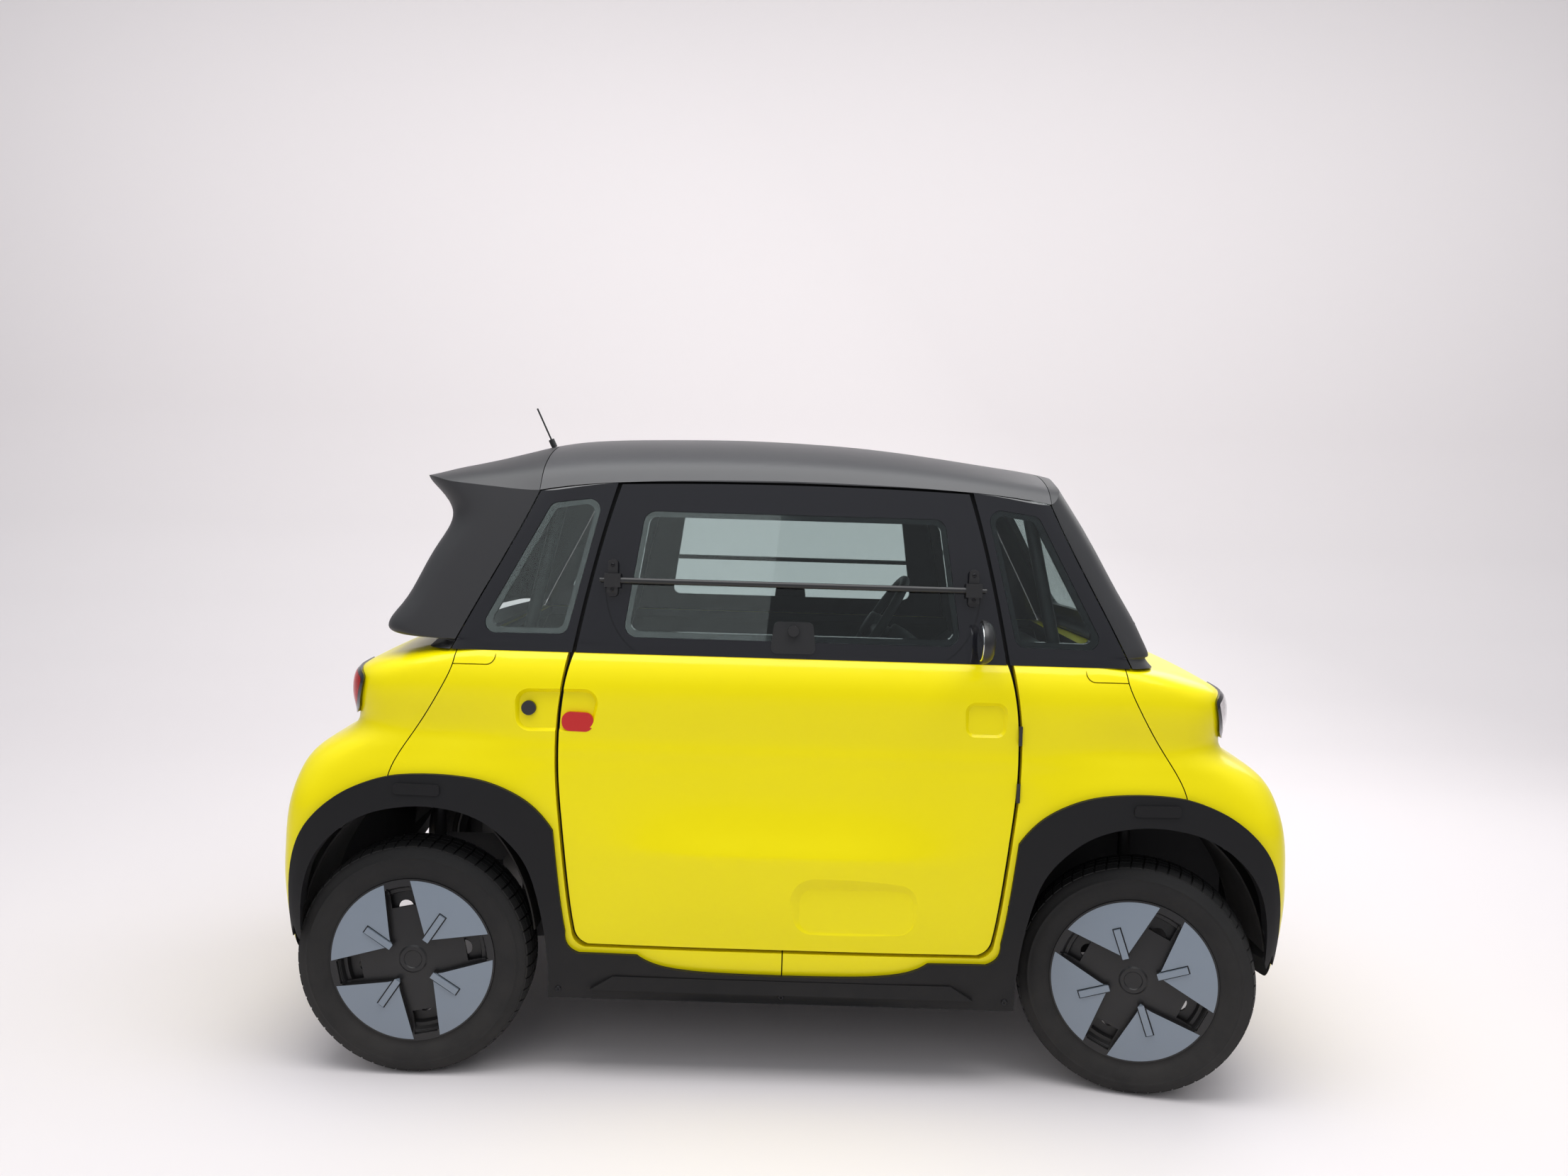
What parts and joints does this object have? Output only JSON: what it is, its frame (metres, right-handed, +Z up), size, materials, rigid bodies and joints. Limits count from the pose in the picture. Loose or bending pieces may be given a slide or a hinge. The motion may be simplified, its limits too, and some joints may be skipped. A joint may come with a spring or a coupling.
{
  "type": "microcar",
  "caption": "Small two-seat electric city car with identical doors hung opposite ways, a black-glazed upper cabin and a dark moulded roof.",
  "frame": {"origin": "on the ground, midway along the body and on its centre plane", "axes": "+X forward, +Y to the left of the car, +Z up"},
  "size_m": [2.41, 1.5606, 1.6029],
  "materials": {
    "yellow_body": "gloss",
    "grey_roof": "satin",
    "tinted_glass": "gloss",
    "lamp_glass": "gloss",
    "red_lens": "gloss",
    "tyre_rubber": "matte",
    "black_trim": "matte",
    "black_gloss": "gloss",
    "seat_cloth": "matte",
    "frame_steel": "satin",
    "wheel_black": "satin",
    "red_tab": "matte",
    "lock_metal": "satin"
  },
  "bodies": {
    "car": {"aerial": "black_trim", "chassis_frame": "frame_steel", "dashboard": "black_trim", "door_hinges": "black_trim", "door_jambs": "black_trim", "door_locks": "lock_metal", "floor_pan": "black_trim", "front_axle": "frame_steel", "headlamp_lenses": "lamp_glass", "headlamps": "black_trim", "nose_panel": "yellow_body", "quarter_panel_front_left": "yellow_body", "quarter_panel_front_right": "yellow_body", "quarter_panel_rear_left": "yellow_body", "quarter_panel_rear_right": "yellow_body", "quarter_windows": "tinted_glass", "rear_axle": "frame_steel", "rear_window": "tinted_glass", "rear_window_surround": "black_trim", "roof_panel": "grey_roof", "seat_frames": "black_trim", "seat_pads": "seat_cloth", "side_trim_left": "black_trim", "side_trim_right": "black_trim", "steering_column": "black_trim", "tail_lamp_lenses": "red_lens", "tail_lamps": "black_trim", "tail_panel": "yellow_body", "wheelhouse_liners": "black_trim", "window_band_left": "black_gloss", "window_band_right": "black_gloss", "windscreen": "tinted_glass", "windscreen_surround": "black_trim"},
    "door_right": {"door_glass_right": "tinted_glass", "door_mirror_right": "black_trim", "door_pull_right": "red_tab", "door_shell_right": "yellow_body", "door_window_frame_right": "black_gloss", "window_bar_right": "black_trim"},
    "door_left": {"door_glass_left": "tinted_glass", "door_mirror_left": "black_trim", "door_pull_left": "red_tab", "door_shell_left": "yellow_body", "door_window_frame_left": "black_gloss", "window_bar_left": "black_trim"},
    "steer_right": {"knuckle_right": "frame_steel"},
    "steer_left": {"knuckle_left": "frame_steel"},
    "wheel_front_right": {"tyre_front_right": "tyre_rubber", "wheel_front_right": "wheel_black"},
    "wheel_front_left": {"tyre_front_left": "tyre_rubber", "wheel_front_left": "wheel_black"},
    "wheel_rear_right": {"tyre_rear_right": "tyre_rubber", "wheel_rear_right": "wheel_black"},
    "wheel_rear_left": {"tyre_rear_left": "tyre_rubber", "wheel_rear_left": "wheel_black"},
    "steering_wheel": {"steering_wheel": "black_trim"}
  },
  "joints": [
    {"name": "door_right_hinge", "type": "hinge", "parent": "car", "child": "door_right", "pos_m": [0.5395, -0.666, 0.675], "axis": [0, 0, 1], "range_deg": [0, 65]},
    {"name": "door_left_hinge", "type": "hinge", "parent": "car", "child": "door_left", "pos_m": [-0.5395, 0.666, 0.675], "axis": [0, 0, 1], "range_deg": [0, 65]},
    {"name": "steer_right", "type": "hinge", "parent": "car", "child": "steer_right", "pos_m": [0.854, -0.565, 0.2785], "axis": [0, 0, 1], "range_deg": [-16, 44]},
    {"name": "steer_left", "type": "hinge", "parent": "car", "child": "steer_left", "pos_m": [0.854, 0.565, 0.2785], "axis": [0, 0, 1], "range_deg": [-16, 44]},
    {"name": "wheel_front_right_spin", "type": "hinge", "parent": "steer_right", "child": "wheel_front_right", "pos_m": [0.84795, -0.58926, 0.2785], "axis": [0.2419, 0.9703, 0], "continuous": true},
    {"name": "wheel_front_left_spin", "type": "hinge", "parent": "steer_left", "child": "wheel_front_left", "pos_m": [0.86005, 0.58926, 0.2785], "axis": [0.2419, 0.9703, 0], "continuous": true},
    {"name": "wheel_rear_right_spin", "type": "hinge", "parent": "car", "child": "wheel_rear_right", "pos_m": [-0.874, -0.59, 0.2785], "axis": [0, 1, 0], "continuous": true},
    {"name": "wheel_rear_left_spin", "type": "hinge", "parent": "car", "child": "wheel_rear_left", "pos_m": [-0.874, 0.59, 0.2785], "axis": [0, 1, 0], "continuous": true},
    {"name": "steering_wheel_turn", "type": "hinge", "parent": "car", "child": "steering_wheel", "pos_m": [0.25, 0.3, 1.01], "axis": [-0.848, 0, 0.5299], "range_deg": [-161, 441]}
  ],
  "couplings": [
    {"joint": "steer_left", "follows": "steer_right", "ratio": 1},
    {"joint": "steering_wheel_turn", "follows": "steer_right", "ratio": 10}
  ]
}
